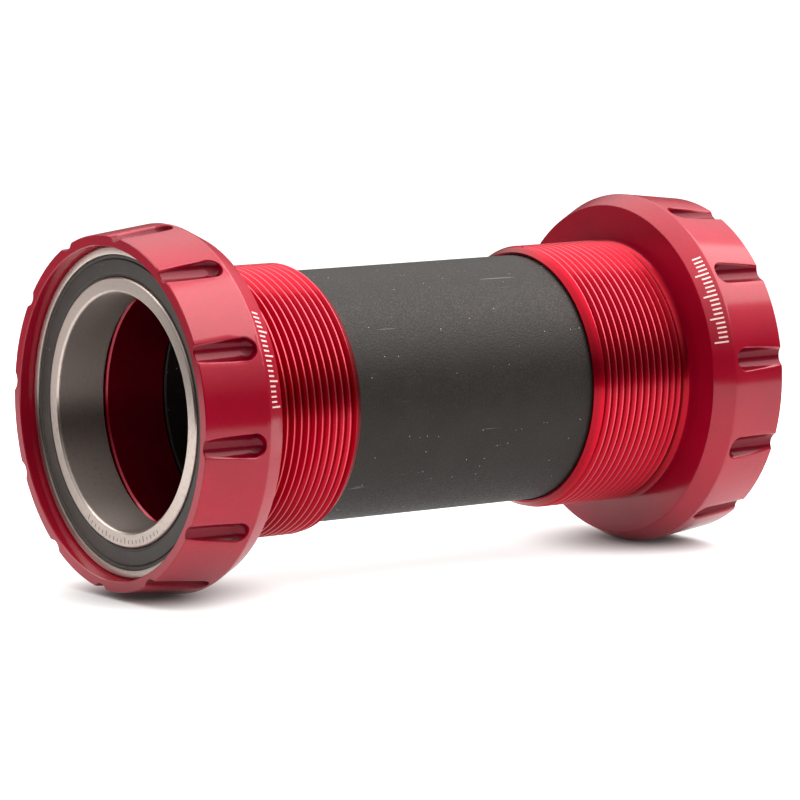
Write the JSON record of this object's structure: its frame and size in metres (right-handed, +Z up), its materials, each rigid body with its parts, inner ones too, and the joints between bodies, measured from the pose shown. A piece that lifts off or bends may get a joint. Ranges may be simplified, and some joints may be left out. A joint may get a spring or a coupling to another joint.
{
  "type": "bottom bracket",
  "caption": "Threaded bottom bracket: two notched outboard cups with sealed ball bearings for a 30 mm spindle, joined by a plain centre sleeve.",
  "frame": {"origin": "middle of the frame shell, on the spindle axis", "axes": "+Y along the spindle axis to the drive side, +Z up, +X square to both"},
  "size_m": [0.0468, 0.091, 0.0468],
  "materials": {
    "red_anodised_aluminium": "satin anodised",
    "ground_steel": "ground and honed bearing steel",
    "silicon_nitride": "polished ceramic",
    "cage_nylon": "moulded nylon",
    "seal_rubber": "moulded nitrile rubber",
    "seal_steel": "pressed steel",
    "sleeve_plastic": "fine-grained moulded plastic"
  },
  "bodies": {
    "sleeve": {"centre_sleeve": "sleeve_plastic"},
    "drive_cup": {"drive_cup": "red_anodised_aluminium", "drive_outer_race": "ground_steel", "drive_outboard_seal": "seal_rubber", "drive_outboard_seal_ring": "seal_steel", "drive_inboard_seal": "seal_rubber", "drive_inboard_seal_ring": "seal_steel"},
    "drive_inner_race": {"drive_inner_race": "ground_steel"},
    "drive_ball_set": {"drive_balls": "silicon_nitride", "drive_ball_cage": "cage_nylon"},
    "non_drive_cup": {"non_drive_cup": "red_anodised_aluminium", "non_drive_outer_race": "ground_steel", "non_drive_outboard_seal": "seal_rubber", "non_drive_outboard_seal_ring": "seal_steel", "non_drive_inboard_seal": "seal_rubber", "non_drive_inboard_seal_ring": "seal_steel"},
    "non_drive_inner_race": {"non_drive_inner_race": "ground_steel"},
    "non_drive_ball_set": {"non_drive_balls": "silicon_nitride", "non_drive_ball_cage": "cage_nylon"}
  },
  "joints": [
    {"name": "drive_cup_slide", "type": "slide", "parent": "sleeve", "child": "drive_cup", "axis": [0, 1, 0], "range_m": [0, 0.0075]},
    {"name": "drive_bearing_turn", "type": "hinge", "parent": "drive_cup", "child": "drive_inner_race", "pos_m": [0, 0.04, 0], "axis": [0, 1, 0], "continuous": true},
    {"name": "drive_cage_turn", "type": "hinge", "parent": "drive_cup", "child": "drive_ball_set", "pos_m": [0, 0.04, 0], "axis": [0, 1, 0], "continuous": true},
    {"name": "non_drive_cup_slide", "type": "slide", "parent": "sleeve", "child": "non_drive_cup", "axis": [0, -1, 0], "range_m": [0, 0.0075]},
    {"name": "non_drive_bearing_turn", "type": "hinge", "parent": "non_drive_cup", "child": "non_drive_inner_race", "pos_m": [0, -0.04, 0], "axis": [0, 1, 0], "continuous": true},
    {"name": "non_drive_cage_turn", "type": "hinge", "parent": "non_drive_cup", "child": "non_drive_ball_set", "pos_m": [0, -0.04, 0], "axis": [0, 1, 0], "continuous": true}
  ],
  "couplings": [
    {"joint": "drive_cage_turn", "follows": "drive_bearing_turn", "ratio": 0.45139},
    {"joint": "non_drive_cage_turn", "follows": "non_drive_bearing_turn", "ratio": 0.45139}
  ]
}
